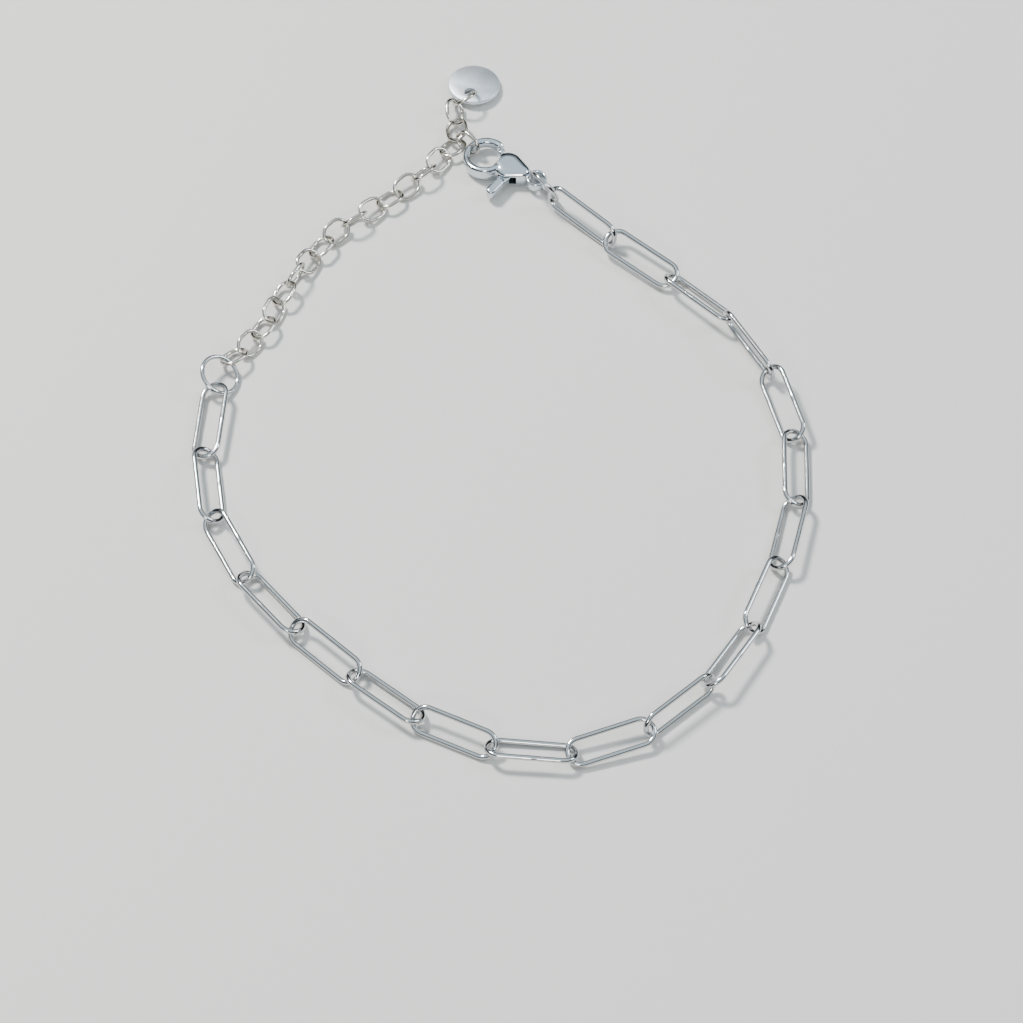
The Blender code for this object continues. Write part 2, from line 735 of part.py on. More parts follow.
def build_tag(hold, turn):
    """Round disc, its hole over the tag ring, its far edge on the surface."""
    heading = turn + math.radians(FREE_END["tag"]["heading"])
    radius = TAG_DIAMETER / 2
    to_hole = radius - TAG_HOLE_RIM - TAG_HOLE_DIAMETER / 2
    half = TAG_THICKNESS / 2
    tilt = math.asin((hold[2] - half - LIFT) / (radius + to_hole))
    bm = bmesh.new()
    skin(bm, [[(x, y, z) for x, y in circle(0, 0, radius - inset, TAG_STEPS)]
              for z, inset in edged(half, TAG_BEVEL)])
    along = np.array([math.cos(heading) * math.cos(tilt), math.sin(heading) * math.cos(tilt),
                      -math.sin(tilt)])
    side = np.array([-math.sin(heading), math.cos(heading), 0.0])
    height = half * math.cos(tilt) + radius * math.sin(tilt) + LIFT
    centre = np.array([hold[0], hold[1], 0.0]) + along * to_hole
    centre[2] = height
    matrix = axes_matrix(centre, along, side)
    tag = mesh_object("tag", bm, matrix, steel("tag"))
    hole = cutter("tag_cutter", circle(-to_hole, 0, TAG_HOLE_DIAMETER / 2, TAG_HOLE_STEPS),
                  -TAG_THICKNESS, TAG_THICKNESS, matrix)
    boolean(tag, hole, "DIFFERENCE")
    return tag


# The whole bracelet

def build_loops(pieces):
    """One wire curve for each kind of loop, shared by its copies."""
    kinds = {
        "link": (LINK_LENGTH, LINK_WIDTH, LINK_WIRE, LINK_ARC_STEPS),
        "ext": (EXT_LENGTH, EXT_WIDTH, EXT_WIRE, EXT_ARC_STEPS),
        "big_ring": (BIG_RING_DIAMETER, BIG_RING_DIAMETER, BIG_RING_WIRE, RING_STEPS // 2),
        "clasp_ring": (CLASP_RING_DIAMETER, CLASP_RING_DIAMETER, CLASP_RING_WIRE, RING_STEPS // 2),
        "tag_ring": (TAG_RING_DIAMETER, TAG_RING_DIAMETER, TAG_RING_WIRE, RING_STEPS // 2),
    }
    curves = {}
    for kind, (length, width, wire, steps) in kinds.items():
        points = stadium(length - wire, width - wire, steps)
        curves[kind] = wire_curve(kind, points, wire, steel(kind))
    for piece in pieces:
        kind = piece.name if piece.name in curves else piece.name.rsplit("_", 1)[0]
        place(piece.name, curves[kind], axes_matrix(piece.centre, piece.along, piece.side))


def centre_on_surface():
    """Moves everything so that the origin is under the middle of the whole box."""
    bpy.context.view_layer.update()
    graph = bpy.context.evaluated_depsgraph_get()
    corners = []
    for piece in bpy.data.objects:
        if piece.hide_render:
            continue
        evaluated = piece.evaluated_get(graph)
        mesh = evaluated.to_mesh()
        corners.extend(piece.matrix_world @ vertex.co for vertex in mesh.vertices)
        evaluated.to_mesh_clear()
    low = Vector([min(corner[k] for corner in corners) for k in range(3)])
    high = Vector([max(corner[k] for corner in corners) for k in range(3)])
    shift = Vector((-(low.x + high.x) / 2, -(low.y + high.y) / 2, -low.z))
    for piece in bpy.data.objects:
        piece.location += shift
    return shift


def main():
    for piece in list(bpy.data.objects):
        bpy.data.objects.remove(piece)
    pieces, clasp = lay_chain()
    build_loops(pieces)
    turn = clasp["turn"]
    matrix = Matrix.Translation((*clasp["origin"], 0.0)) @ Matrix.Rotation(turn, 4, "Z")
    build_clasp_body(matrix)
    build_clasp_lever(matrix)
    build_clasp_pin(matrix)
    build_tag(clasp["tag"], turn)
    return pieces, clasp, centre_on_surface()


PIECES, CLASP, SHIFT = main()
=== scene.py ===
"""Paperclip chain bracelet: smooth wire loops, cast clasp and bare tag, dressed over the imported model."""
import math

import bmesh
import bpy
import numpy as np
from mathutils import Matrix, Vector


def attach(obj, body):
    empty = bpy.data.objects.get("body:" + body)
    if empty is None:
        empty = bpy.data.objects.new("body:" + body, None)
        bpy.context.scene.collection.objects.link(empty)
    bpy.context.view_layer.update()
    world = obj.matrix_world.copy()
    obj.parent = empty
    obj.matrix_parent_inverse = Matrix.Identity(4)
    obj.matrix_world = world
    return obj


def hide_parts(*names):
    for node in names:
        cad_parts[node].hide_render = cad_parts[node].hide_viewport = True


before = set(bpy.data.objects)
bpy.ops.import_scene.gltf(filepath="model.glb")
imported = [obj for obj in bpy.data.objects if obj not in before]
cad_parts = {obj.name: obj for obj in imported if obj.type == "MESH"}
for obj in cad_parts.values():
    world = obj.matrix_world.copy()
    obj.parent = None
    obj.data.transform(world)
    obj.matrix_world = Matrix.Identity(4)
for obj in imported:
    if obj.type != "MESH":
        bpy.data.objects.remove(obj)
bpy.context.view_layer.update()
MM = 0.001

# Camera: it looks from the front and above at a point near the loop's middle
CAMERA_TARGET = Vector((0.001209, -0.014399, 0.0))
CAMERA_DISTANCE = 0.480
CAMERA_ELEVATION = math.radians(56.66)
CAMERA_LENS = 157.86
SENSOR_WIDTH = 36.0

# Wire loops, in metres
PAPERCLIP_LINK = {"Length": 9.95 * MM, "Width": 3.4 * MM, "Wire": 0.58 * MM, "Weld": 0.07}
EXTENDER_LINK = {"Length": 3.5 * MM, "Width": 2.7 * MM, "Wire": 0.42 * MM, "Weld": 0.09}
BIG_RING = {"Diameter": 4.8 * MM, "Wire": 0.5 * MM, "Cut": 0.05 * MM}
CLASP_RING = {"Diameter": 4.6 * MM, "Wire": 0.46 * MM, "Cut": 0.05 * MM}
TAG_RING = {"Diameter": 3.3 * MM, "Wire": 0.38 * MM, "Cut": 0.04 * MM}

# Clasp, in millimetres, in its own frame: X from the claw's middle to the eye, Y to the hook's tip
CLASP_PLACE = Vector((-1.654, 32.4925, 0.0))
CLASP_TURN = math.radians(-29.406)
CLASP_MIDDLE = 1.1
CLAW_RADIUS = 1.75
EYE_X = 6.5
EYE_HOLE = 0.75
EYE_OUTER = 1.23
PIVOT = (3.45, -0.3)
HUB_RADIUS = 0.64
LEVER_HALF = 0.45
SLOT_HALF = 0.55
SLOT_WALL = 0.74
TAB_LENGTH = 3.65
TAB_RADIUS = 0.6
TAB_START = 2.2
TAB_WAY = math.radians(-99)
TAB_END = (PIVOT[0] + TAB_LENGTH * math.cos(TAB_WAY), PIVOT[1] + TAB_LENGTH * math.sin(TAB_WAY))
SWING = math.radians(28)
KNOB_RADIUS = 0.42
KNOB_REACH = 1.85
KNOB_WAY = math.radians(44)
KNOB = (KNOB_REACH * math.cos(KNOB_WAY), KNOB_REACH * math.sin(KNOB_WAY))
KNOB_PLAY = 0.1
GATE_END_RADIUS = 0.32
TAB_NECK_RADIUS = 0.5
BODY_END = {"x": 2.85, "radius": 1.8}
NECK_END = {"x": 4.7, "radius": 0.95, "inset_share": 0.75}
EYE_HALF_HEIGHT = 0.62

# Round tag, in millimetres
TAG_RADIUS = 2.95
TAG_HALF = 0.25
TAG_HOLE_RADIUS = 0.65
TAG_INSIDE = 2.4


# Node trees

def add(tree, kind, inputs=None, **settings):
    """Adds a node, sets its options and fills its inputs with values or with other nodes' outputs."""
    made = tree.nodes.new(kind)
    for name, value in settings.items():
        setattr(made, name, value)
    for name, value in (inputs or {}).items():
        if isinstance(value, bpy.types.NodeSocket):
            tree.links.new(value, made.inputs[name])
        else:
            made.inputs[name].default_value = value
    return made


def sum_up(tree, operation, first, second, kind="ShaderNodeMath"):
    return add(tree, kind, {0: first, 1: second}, operation=operation).outputs[0]


def geometry_tree(name, sizes, counts):
    """An empty tree with points, sizes in metres, counts and a finish as its named inputs."""
    tree = bpy.data.node_groups.new(name, "GeometryNodeTree")
    face = tree.interface
    face.new_socket("Points", in_out="INPUT", socket_type="NodeSocketGeometry")
    for size in sizes:
        face.new_socket(size, in_out="INPUT", socket_type="NodeSocketFloat")
    for count in counts:
        face.new_socket(count, in_out="INPUT", socket_type="NodeSocketInt")
    face.new_socket("Finish", in_out="INPUT", socket_type="NodeSocketMaterial")
    face.new_socket("Mesh", in_out="OUTPUT", socket_type="NodeSocketGeometry")
    return tree, add(tree, "NodeGroupInput").outputs


def sweep_and_place(tree, given, path, scale=None, caps=False):
    """Sweeps the wire's round section along a path and puts a copy on every point, turned as it says."""
    radius = sum_up(tree, "MULTIPLY", given["Wire"], 0.5)
    section = add(tree, "GeometryNodeCurvePrimitiveCircle", {"Resolution": given["Sides"], "Radius": radius})
    sweep = add(tree, "GeometryNodeCurveToMesh", {
        "Curve": path, "Profile Curve": section.outputs["Curve"], "Fill Caps": caps})
    if scale is not None:
        tree.links.new(scale, sweep.inputs["Scale"])
    turn = add(tree, "GeometryNodeInputNamedAttribute", {"Name": "turn"}, data_type="FLOAT_VECTOR")
    copies = add(tree, "GeometryNodeInstanceOnPoints", {
        "Points": given["Points"], "Instance": sweep.outputs["Mesh"],
        "Rotation": turn.outputs["Attribute"]})
    solid = add(tree, "GeometryNodeRealizeInstances", {"Geometry": copies.outputs["Instances"]})
    smooth = add(tree, "GeometryNodeSetShadeSmooth", {"Geometry": solid.outputs["Geometry"]})
    finish = add(tree, "GeometryNodeSetMaterial", {
        "Geometry": smooth.outputs["Geometry"], "Material": given["Finish"]})
    add(tree, "NodeGroupOutput", {"Mesh": finish.outputs["Geometry"]})


def soldered_link_tree():
    """A loop with straight sides, round ends and a small weld in the middle of one side."""
    tree, given = geometry_tree("Soldered links", ("Length", "Width", "Wire", "Weld"), ("Steps", "Sides"))
    inner_length = sum_up(tree, "SUBTRACT", given["Length"], given["Wire"])
    inner_width = sum_up(tree, "SUBTRACT", given["Width"], given["Wire"])
    frame_curve = add(tree, "GeometryNodeCurvePrimitiveQuadrilateral", {
        "Width": inner_length, "Height": inner_width})
    corner = sum_up(tree, "MULTIPLY", inner_width, 0.4995)
    rounded = add(tree, "GeometryNodeFilletCurve", {
        "Curve": frame_curve.outputs["Curve"], "Radius": corner, "Limit Radius": True,
        "Count": 12}, mode="POLY")
    even = add(tree, "GeometryNodeResampleCurve", {
        "Curve": rounded.outputs["Curve"], "Count": given["Steps"]})
    place = add(tree, "ShaderNodeSeparateXYZ", {"Vector": add(tree, "GeometryNodeInputPosition").outputs[0]})
    reach = add(tree, "ShaderNodeMath", {0: place.outputs["X"]}, operation="ABSOLUTE").outputs[0]
    swell = add(tree, "ShaderNodeMapRange", {
        "Value": reach, "From Min": given["Wire"], "From Max": 0.0, "To Min": 0.0,
        "To Max": given["Weld"]}, interpolation_type="SMOOTHSTEP").outputs["Result"]
    side = sum_up(tree, "GREATER_THAN", place.outputs["Y"], 0.0)
    scale = sum_up(tree, "ADD", sum_up(tree, "MULTIPLY", swell, side), 1.0)
    sweep_and_place(tree, given, even.outputs["Curve"], scale)
    return tree


def jump_ring_tree():
    """A round wire ring with a fine cut where its ends meet."""
    tree, given = geometry_tree("Jump rings", ("Diameter", "Wire", "Cut"), ("Steps", "Sides"))
    inner = sum_up(tree, "SUBTRACT", given["Diameter"], given["Wire"])
    radius = sum_up(tree, "MULTIPLY", inner, 0.5)
    gap = sum_up(tree, "DIVIDE", given["Cut"], radius)
    sweep = sum_up(tree, "SUBTRACT", 2 * math.pi, gap)
    arc = add(tree, "GeometryNodeCurveArc", {
        "Resolution": given["Steps"], "Radius": radius, "Start Angle": 0.7, "Sweep Angle": sweep})
    sweep_and_place(tree, given, arc.outputs["Curve"], caps=True)
    return tree


def set_inputs(modifier, values):
    """Sets a Geometry Nodes modifier's named inputs."""
    for item in modifier.node_group.interface.items_tree:
        if item.in_out == "INPUT" and item.name in values:
            modifier[item.identifier] = values[item.name]


# Pieces

def plain_mesh(piece):
    """The piece as its modifiers leave it, as a mesh of its own, with the modifiers gone."""
    graph = bpy.context.evaluated_depsgraph_get()
    mesh = bpy.data.meshes.new_from_object(piece.evaluated_get(graph))
    piece.modifiers.clear()
    piece.data = mesh
    return piece


def new_piece(name, mesh):
    piece = bpy.data.objects.new(name, mesh)
    bpy.context.scene.collection.objects.link(piece)
    return piece


def node_points(name):
    return np.array([vertex.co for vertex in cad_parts[name].data.vertices])


def node_place(name):
    """Middle of a node, and its long, wide and thin axes as rows."""
    points = node_points(name)
    middle = points.mean(axis=0)
    _, _, axes = np.linalg.svd(points - middle, full_matrices=False)
    axes[2] = np.cross(axes[0], axes[1])
    spans = (points - middle) @ axes.T
    return middle + (spans.min(axis=0) + spans.max(axis=0)) / 2 @ axes, axes


def loops_on_nodes(name, tree, nodes, sizes, finish):
    """One piece of wire loops, each lying where its CAD node lies."""
    places = [node_place(node) for node in nodes]
    mesh = bpy.data.meshes.new(name)
    mesh.from_pydata([tuple(centre) for centre, _ in places], [], [])
    turn = mesh.attributes.new("turn", "FLOAT_VECTOR", "POINT")
    for entry, (_, axes) in zip(turn.data, places):
        entry.vector = Matrix(axes.T.tolist()).to_euler()
    piece = new_piece(name, mesh)
    modifier = piece.modifiers.new("Loops", "NODES")
    modifier.node_group = tree
    set_inputs(modifier, {**sizes, "Finish": finish})
    plain_mesh(piece)
    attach(piece, "bracelet")
    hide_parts(*nodes)
    return piece


def clasp_matrix():
    return Matrix.Scale(MM, 4) @ Matrix.Translation(CLASP_PLACE) @ Matrix.Rotation(CLASP_TURN, 4, "Z")


def loft(bm, rings, closed=False):
    """Joins rings of points into a skin, with end caps unless the rings close on themselves."""
    rows = [[bm.verts.new(point) for point in ring] for ring in rings]
    sides = len(rows[0])
    pairs = list(zip(rows, rows[1:])) + ([(rows[-1], rows[0])] if closed else [])
    for first, second in pairs:
        for i in range(sides):
            j = (i + 1) % sides
            bm.faces.new((first[i], first[j], second[j], second[i]))
    if not closed:
        bm.faces.new(rows[0])
        bm.faces.new(list(reversed(rows[-1])))


def superellipse(half_width, half_height, power, steps):
    points = []
    for i in range(steps):
        angle = 2 * math.pi * i / steps
        c, s = math.cos(angle), math.sin(angle)
        points.append((half_width * math.copysign(abs(c) ** (2 / power), c),
                       half_height * math.copysign(abs(s) ** (2 / power), s)))
    return points


def capsule(first, last, steps):
    """Outline round two circles (x, y, radius), joined by their outer tangents."""
    (x0, y0, r0), (x1, y1, r1) = first, last
    way = math.atan2(y1 - y0, x1 - x0)
    lean = math.acos((r0 - r1) / math.hypot(x1 - x0, y1 - y0))
    points = []
    for x, y, r, start, end in ((x0, y0, r0, way + lean, way + 2 * math.pi - lean),
                                (x1, y1, r1, way - lean, way + lean)):
        for i in range(steps + 1):
            angle = start + (end - start) * i / steps
            points.append((x + r * math.cos(angle), y + r * math.sin(angle)))
    return points


def prism(bm, outline, low, high):
    loft(bm, [[(x, y, z) for x, y in outline] for z in (low, high)])


def solid(name, build):
    """A helper mesh object in millimetres, made by the given function."""
    bm = bmesh.new()
    build(bm)
    bmesh.ops.recalc_face_normals(bm, faces=bm.faces[:])
    mesh = bpy.data.meshes.new(name)
    bm.to_mesh(mesh)
    bm.free()
    return new_piece(name, mesh)


def cast(name, build, cutters, voxel, rounds):
    """Casts overlapping shapes into one smooth body, then cuts it. Works in millimetres."""
    piece = solid(name, build)
    remesh = piece.modifiers.new("Cast", "REMESH")
    remesh.mode = "VOXEL"
    remesh.voxel_size = voxel
    remesh.adaptivity = 0.0
    soft = piece.modifiers.new("Soften", "SMOOTH")
    soft.factor = 0.5
    soft.iterations = rounds
    helpers = []
    for label, shape in cutters:
        helper = solid(label, shape)
        helpers.append(helper)
        cut = piece.modifiers.new(label, "BOOLEAN")
        cut.operation = "DIFFERENCE"
        cut.object = helper
    plain_mesh(piece)
    for helper in helpers:
        bpy.data.objects.remove(helper)
    mesh = piece.data
    mesh.transform(clasp_matrix())
    mesh.shade_smooth()
    mesh.set_sharp_from_angle(angle=math.radians(38))
    return piece


# Clasp shapes, in millimetres

HOOK_ROOT, HOOK_TIP = math.radians(-22), math.radians(-296)
HOOK_SECTIONS = (
    {"share": 0.0, "width": 0.95, "height": 2.08},
    {"share": 0.15, "width": 0.94, "height": 1.95},
    {"share": 0.3, "width": 0.9, "height": 1.6},
    {"share": 0.45, "width": 0.87, "height": 1.25},
    {"share": 0.6, "width": 0.86, "height": 1.1},
    {"share": 0.97, "width": 0.94, "height": 1.28},
    {"share": 1.0, "width": 0.6, "height": 0.85},
)


def hook_shape(bm):
    """The claw's hook: an oval bar round the opening, thinner over the top, rounded at its tip."""
    shares = [entry["share"] for entry in HOOK_SECTIONS]
    widths = [entry["width"] for entry in HOOK_SECTIONS]
    heights = [entry["height"] for entry in HOOK_SECTIONS]
    rings = []
    for share in np.linspace(0, 1, 70):
        angle = HOOK_ROOT + (HOOK_TIP - HOOK_ROOT) * share
        width = np.interp(share, shares, widths)
        height = np.interp(share, shares, heights)
        middle = CLAW_RADIUS + np.interp(share, (0, 0.97, 1), (0.475, 0.46, 0.46))
        rings.append([((middle + dx) * math.cos(angle), (middle + dx) * math.sin(angle), CLASP_MIDDLE + dz)
                      for dx, dz in superellipse(width / 2, height / 2, 2.6, 28)])
    loft(bm, rings)


def plate_shape(bm):
    """The hollow body's outside: a domed drop that narrows into the neck."""
    profile = ((0.03, 0.3), (0.12, 0.14), (0.3, 0.03), (0.6, 0.0), (1.3, 0.0), (1.6, 0.04),
               (1.85, 0.16), (2.02, 0.36), (2.12, 0.62), (2.18, 0.95))
    rings = []
    for z, inset in profile:
        wide = (BODY_END["x"], 0, BODY_END["radius"] - inset)
        narrow = (NECK_END["x"], 0, NECK_END["radius"] - NECK_END["inset_share"] * inset)
        rings.append([(x, y, z) for x, y in capsule(wide, narrow, 28)])
    loft(bm, rings)


def eye_shape(bm):
    """The round eye at the end of the neck."""
    middle = (EYE_HOLE + EYE_OUTER) / 2
    rings = []
    section = superellipse((EYE_OUTER - EYE_HOLE) / 2, EYE_HALF_HEIGHT, 2.3, 20)
    steps = 72
    for i in range(steps):
        c, s = math.cos(2 * math.pi * i / steps), math.sin(2 * math.pi * i / steps)
        rings.append([(EYE_X + (middle + dx) * c, (middle + dx) * s, CLASP_MIDDLE + dz)
                      for dx, dz in section])
    loft(bm, rings, closed=True)


def clasp_body_shape(bm):
    hook_shape(bm)
    plate_shape(bm)
    eye_shape(bm)


def circle(x, y, radius, steps):
    turns = np.linspace(0, 2 * math.pi, steps, endpoint=False)
    return [(x + radius * math.cos(turn), y + radius * math.sin(turn)) for turn in turns]


def circle_cut(x, y, radius, steps=96):
    return lambda bm: prism(bm, circle(x, y, radius, steps), -2, 5)


def beside_tab(distance, hand, swing=0.0):
    """A point clear of the thumb tab's edge, on its claw side (1) or its eye side (-1)."""
    half = hand * SLOT_WALL
    c, s = math.cos(TAB_WAY + swing), math.sin(TAB_WAY + swing)
    return PIVOT[0] + distance * c + half * s, PIVOT[1] + distance * s - half * c


def slot_shape(bm):
    outline = [
        (1.25, PIVOT[1] - SLOT_WALL), (1.25, 2.8), (1.75, 2.8),
        (PIVOT[0] + SLOT_WALL, PIVOT[1] + SLOT_WALL / 2),
        beside_tab(0, -1, SWING), beside_tab(TAB_LENGTH, -1, SWING),
        beside_tab(TAB_LENGTH, 1), beside_tab(SLOT_WALL, 1),
    ]
    prism(bm, outline, CLASP_MIDDLE - SLOT_HALF, CLASP_MIDDLE + SLOT_HALF)


def lever_shape(bm):
    """Gate arm with its knob, and the thumb tab with its rounded paddle."""
    edge = 0.08
    slab = ((-LEVER_HALF, edge), (-LEVER_HALF + edge, 0), (LEVER_HALF - edge, 0), (LEVER_HALF, edge))
    for end, radius in ((KNOB, GATE_END_RADIUS), (TAB_END, TAB_NECK_RADIUS)):
        rings = []
        for z, inset in slab:
            outline = capsule((*PIVOT, HUB_RADIUS - inset), (*end, radius - inset), 14)
            rings.append([(x, y, CLASP_MIDDLE + z) for x, y in outline])
        loft(bm, rings)
    start = (PIVOT[0] + TAB_START * math.cos(TAB_WAY), PIVOT[1] + TAB_START * math.sin(TAB_WAY))
    paddle = ((-0.65, 0.3), (-0.58, 0.12), (-0.42, 0.02), (0, 0), (0.42, 0.02), (0.58, 0.12), (0.65, 0.3))
    rings = []
    for z, inset in paddle:
        outline = capsule((*start, TAB_RADIUS - inset), (*TAB_END, TAB_RADIUS - inset), 16)
        rings.append([(x, y, CLASP_MIDDLE + z) for x, y in outline])
    loft(bm, rings)
    knob = ((-0.75, 0.2), (-0.68, 0.07), (-0.5, 0), (0.5, 0), (0.68, 0.07), (0.75, 0.2))
    loft(bm, [[(x, y, CLASP_MIDDLE + z) for x, y in circle(*KNOB, KNOB_RADIUS - inset, 28)]
              for z, inset in knob])


# Tag

def tag_piece(finish):
    """Bare round disc with a hole near its edge, its rims softly rounded."""
    centre, axes = node_place("tag")
    if axes[2][2] < 0:
        axes[2] *= -1
        axes[1] *= -1
    local = (node_points("tag") - centre) @ axes.T / MM
    hole = local[np.hypot(local[:, 0], local[:, 1]) < TAG_INSIDE].mean(axis=0)
    half = TAG_HALF

    def disc(bm):
        rim = ((-half, 0.13), (-half + 0.03, 0.06), (-half + 0.08, 0.015), (-half + 0.14, 0.0),
               (half - 0.14, 0.0), (half - 0.08, 0.015), (half - 0.03, 0.06), (half, 0.13))
        loft(bm, [[(x, y, z) for x, y in circle(0, 0, TAG_RADIUS - inset, 160)] for z, inset in rim])

    def bore(bm):
        flare = ((-0.4, 0.2), (-half, 0.05), (-half + 0.05, 0.01), (-half + 0.1, 0.0),
                 (half - 0.1, 0.0), (half - 0.05, 0.01), (half, 0.05), (0.4, 0.2))
        loft(bm, [[(x, y, z) for x, y in circle(hole[0], hole[1], TAG_HOLE_RADIUS + more, 64)]
                  for z, more in flare])

    piece = solid("round_tag", disc)
    helper = solid("tag_bore", bore)
    cut = piece.modifiers.new("Bore", "BOOLEAN")
    cut.operation = "DIFFERENCE"
    cut.object = helper
    plain_mesh(piece)
    bpy.data.objects.remove(helper)
    place = Matrix.Identity(4)
    for column in range(3):
        place.col[column][:3] = axes[column] * MM
    place.col[3][:3] = centre
    piece.data.transform(place)
    piece.data.shade_smooth()
    piece.data.set_sharp_from_angle(angle=math.radians(30))
    piece.data.materials.append(finish)
    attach(piece, "bracelet")
    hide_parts("tag")
    return piece


# Finishes

def group_tree(name, inputs, outputs):
    tree = bpy.data.node_groups.new(name, "ShaderNodeTree")
    for label, value in inputs:
        socket = tree.interface.new_socket(label, in_out="INPUT", socket_type="NodeSocketFloat")
        socket.default_value = value
    for label, kind in outputs:
        tree.interface.new_socket(label, in_out="OUTPUT", socket_type=kind)
    return tree, add(tree, "NodeGroupInput").outputs


def handling_wear():
    """Group: fine scratches, polishing marks and a little dullness from handling, over polished metal."""
    tree, given = group_tree(
        "Handling wear", (("Mark Size", 900.0), ("Scratch Depth", 0.3), ("Dullness", 0.2)),
        (("Roughness Change", "NodeSocketFloat"), ("Height", "NodeSocketFloat"), ("Tint", "NodeSocketFloat")))
    where = add(tree, "ShaderNodeTexCoord").outputs["Object"]
    cloud = add(tree, "ShaderNodeTexNoise", {"Vector": where, "Scale": given["Mark Size"], "Detail": 3.0})
    fine_scale = sum_up(tree, "MULTIPLY", given["Mark Size"], 6.0)
    stretched = add(tree, "ShaderNodeMapping", {
        "Vector": where, "Scale": (1.0, 0.12, 0.6), "Rotation": (0.0, 0.0, 0.6)})
    scratches = add(tree, "ShaderNodeTexNoise", {
        "Vector": stretched.outputs["Vector"], "Scale": fine_scale, "Detail": 4.0, "Roughness": 0.7})
    lines = add(tree, "ShaderNodeMapRange", {
        "Value": scratches.outputs["Fac"], "From Min": 0.62, "From Max": 0.72, "To Min": 0.0, "To Max": 1.0})
    dull = sum_up(tree, "MULTIPLY", cloud.outputs["Fac"], given["Dullness"])
    marked = sum_up(tree, "MULTIPLY", lines.outputs["Result"], given["Scratch Depth"])
    rough = sum_up(tree, "ADD", sum_up(tree, "MULTIPLY", dull, 0.5), sum_up(tree, "MULTIPLY", marked, 0.25))
    height = sum_up(tree, "SUBTRACT", sum_up(tree, "MULTIPLY", cloud.outputs["Fac"], 0.35), marked)
    tint = sum_up(tree, "SUBTRACT", 1.0, sum_up(tree, "MULTIPLY", dull, 0.35))
    add(tree, "NodeGroupOutput", {"Roughness Change": rough, "Height": height, "Tint": tint})
    return tree


def steel(name, wear, colour, roughness, marks, depth, dullness, bump):
    """Polished or satin steel with its own amount of handling wear."""
    material = bpy.data.materials.new(name)
    material.use_nodes = True
    tree = material.node_tree
    shader = tree.nodes["Principled BSDF"]
    shader.inputs["Metallic"].default_value = 1.0
    worn = add(tree, "ShaderNodeGroup", {}, node_tree=wear)
    worn.inputs["Mark Size"].default_value = marks
    worn.inputs["Scratch Depth"].default_value = depth
    worn.inputs["Dullness"].default_value = dullness
    tinted = add(tree, "ShaderNodeVectorMath", {
        0: tuple(colour), 1: worn.outputs["Tint"]}, operation="MULTIPLY")
    tree.links.new(tinted.outputs["Vector"], shader.inputs["Base Color"])
    rough = sum_up(tree, "ADD", worn.outputs["Roughness Change"], roughness)
    tree.links.new(rough, shader.inputs["Roughness"])
    relief = add(tree, "ShaderNodeBump", {
        "Height": worn.outputs["Height"], "Strength": bump, "Distance": 0.00002})
    tree.links.new(relief.outputs["Normal"], shader.inputs["Normal"])
    material.diffuse_color = (*colour, 1.0)
    return material


# Room

DOME_LOW = (0.02, 0.021, 0.023)
DOME_HIGH = (0.80, 0.93, 1.0)
DOME_STRENGTH = 1.1
LAMPS = {
    "key": {"place": (-0.30, 0.30, 0.55), "size": 0.12, "power": 8.0, "colour": (1.0, 0.98, 0.95)},
    "fill": {"place": (0.5, 0.1, 0.4), "size": 0.2, "power": 1.6, "colour": (0.86, 0.92, 1.0)},
    "front": {"place": (-0.1, -0.5, 0.35), "size": 0.16, "power": 1.2, "colour": (1.0, 0.96, 0.9)},
}


def floor_material():
    material = bpy.data.materials.new("pale floor")
    material.use_nodes = True
    tree = material.node_tree
    shader = tree.nodes["Principled BSDF"]
    shader.inputs["Base Color"].default_value = (0.62, 0.61, 0.59, 1.0)
    shader.inputs["Roughness"].default_value = 0.6
    return material


def build_room():
    bm = bmesh.new()
    bmesh.ops.create_grid(bm, x_segments=1, y_segments=1, size=2.0)
    mesh = bpy.data.meshes.new("floor")
    bm.to_mesh(mesh)
    bm.free()
    mesh.transform(Matrix.Translation((0, 0, -0.00002)))
    mesh.materials.append(floor_material())
    floor = new_piece("floor", mesh)

    world = bpy.data.worlds.new("studio")
    bpy.context.scene.world = world
    world.use_nodes = True
    tree = world.node_tree
    background = tree.nodes["Background"]
    way = add(tree, "ShaderNodeTexCoord").outputs["Generated"]
    height = add(tree, "ShaderNodeSeparateXYZ", {"Vector": way}).outputs["Z"]
    sky = add(tree, "ShaderNodeValToRGB", {"Fac": height})
    sky.color_ramp.interpolation = "EASE"
    first, last = sky.color_ramp.elements
    first.position, first.color = 0.42, (*DOME_LOW, 1.0)
    last.position, last.color = 0.8, (*DOME_HIGH, 1.0)
    tree.links.new(sky.outputs["Color"], background.inputs["Color"])
    background.inputs["Strength"].default_value = DOME_STRENGTH

    for name, lamp_row in LAMPS.items():
        light = bpy.data.lights.new(name, "AREA")
        light.shape = "SQUARE"
        light.size = lamp_row["size"]
        light.energy = lamp_row["power"]
        light.color = lamp_row["colour"]
        lamp = bpy.data.objects.new(name, light)
        lamp.location = lamp_row["place"]
        lamp.rotation_euler = (-Vector(lamp_row["place"])).to_track_quat("-Z", "Y").to_euler()
        bpy.context.scene.collection.objects.link(lamp)


def build_camera():
    data = bpy.data.cameras.new("camera")
    data.sensor_width = SENSOR_WIDTH
    data.lens = CAMERA_LENS
    data.clip_start = 0.01
    camera = bpy.data.objects.new("camera", data)
    back = Vector((0.0, -math.cos(CAMERA_ELEVATION), math.sin(CAMERA_ELEVATION)))
    camera.location = CAMERA_TARGET + back * CAMERA_DISTANCE
    camera.rotation_euler = (-back).to_track_quat("-Z", "Y").to_euler()
    bpy.context.scene.collection.objects.link(camera)
    bpy.context.scene.camera = camera


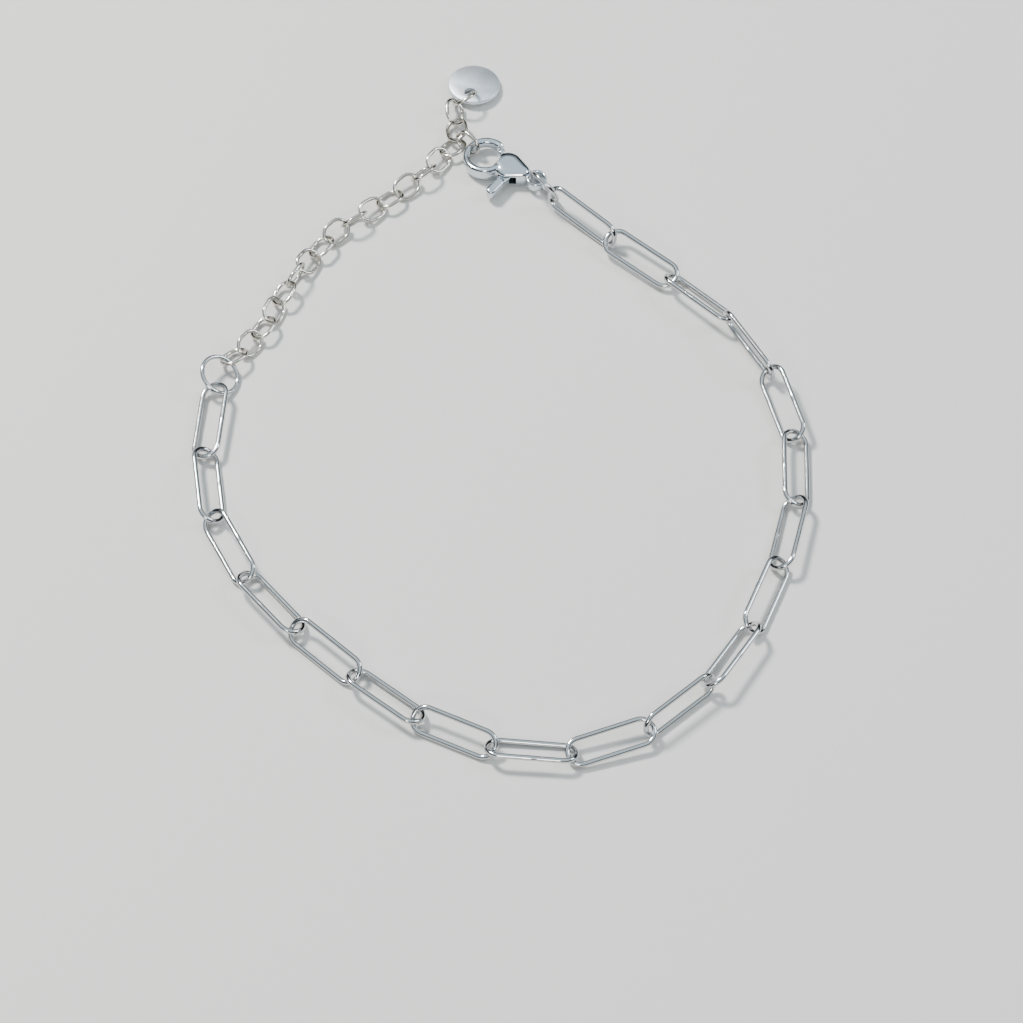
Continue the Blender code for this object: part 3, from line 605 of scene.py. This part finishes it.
def main():
    build_camera()
    build_room()
    wear = handling_wear()
    link_steel = steel("link steel", wear, (0.60, 0.61, 0.62), 0.07, 900.0, 0.3, 0.22, 0.25)
    extender_steel = steel("extender steel", wear, (0.64, 0.61, 0.56), 0.1, 1400.0, 0.3, 0.3, 0.25)
    clasp_steel = steel("clasp steel", wear, (0.68, 0.73, 0.78), 0.08, 700.0, 0.35, 0.2, 0.3)
    tag_steel = steel("tag steel", wear, (0.80, 0.85, 0.92), 0.36, 800.0, 0.5, 0.35, 0.4)

    soldered, ring = soldered_link_tree(), jump_ring_tree()
    nodes = sorted(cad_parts)
    loops_on_nodes("paperclip_links", soldered, [n for n in nodes if n.startswith("link_")],
                   {**PAPERCLIP_LINK, "Steps": 96, "Sides": 16}, link_steel)
    loops_on_nodes("extender_links", soldered, [n for n in nodes if n.startswith("ext_")],
                   {**EXTENDER_LINK, "Steps": 56, "Sides": 14}, extender_steel)
    loops_on_nodes("big_jump_ring", ring, ["big_ring"], {**BIG_RING, "Steps": 96, "Sides": 16},
                   link_steel)
    loops_on_nodes("clasp_jump_ring", ring, ["clasp_ring"], {**CLASP_RING, "Steps": 96, "Sides": 16},
                   link_steel)
    loops_on_nodes("tag_jump_ring", ring, ["tag_ring"], {**TAG_RING, "Steps": 80, "Sides": 14},
                   extender_steel)
    tag_piece(tag_steel)

    claw = cast("lobster_claw", clasp_body_shape, (
        ("claw_cut", circle_cut(0, 0, CLAW_RADIUS)),
        ("knob_cut", circle_cut(*KNOB, KNOB_RADIUS + KNOB_PLAY, 40)),
        ("slot_cut", slot_shape),
    ), 0.05, 6)
    claw.data.materials.append(clasp_steel)
    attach(claw, "bracelet")
    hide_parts("clasp_body")
    gate = cast("gate_and_thumb_tab", lever_shape, (), 0.045, 4)
    gate.data.materials.append(clasp_steel)
    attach(gate, "clasp_lever")
    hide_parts("clasp_lever")
    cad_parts["clasp_pin"].data.materials.clear()
    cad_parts["clasp_pin"].data.materials.append(clasp_steel)


main()
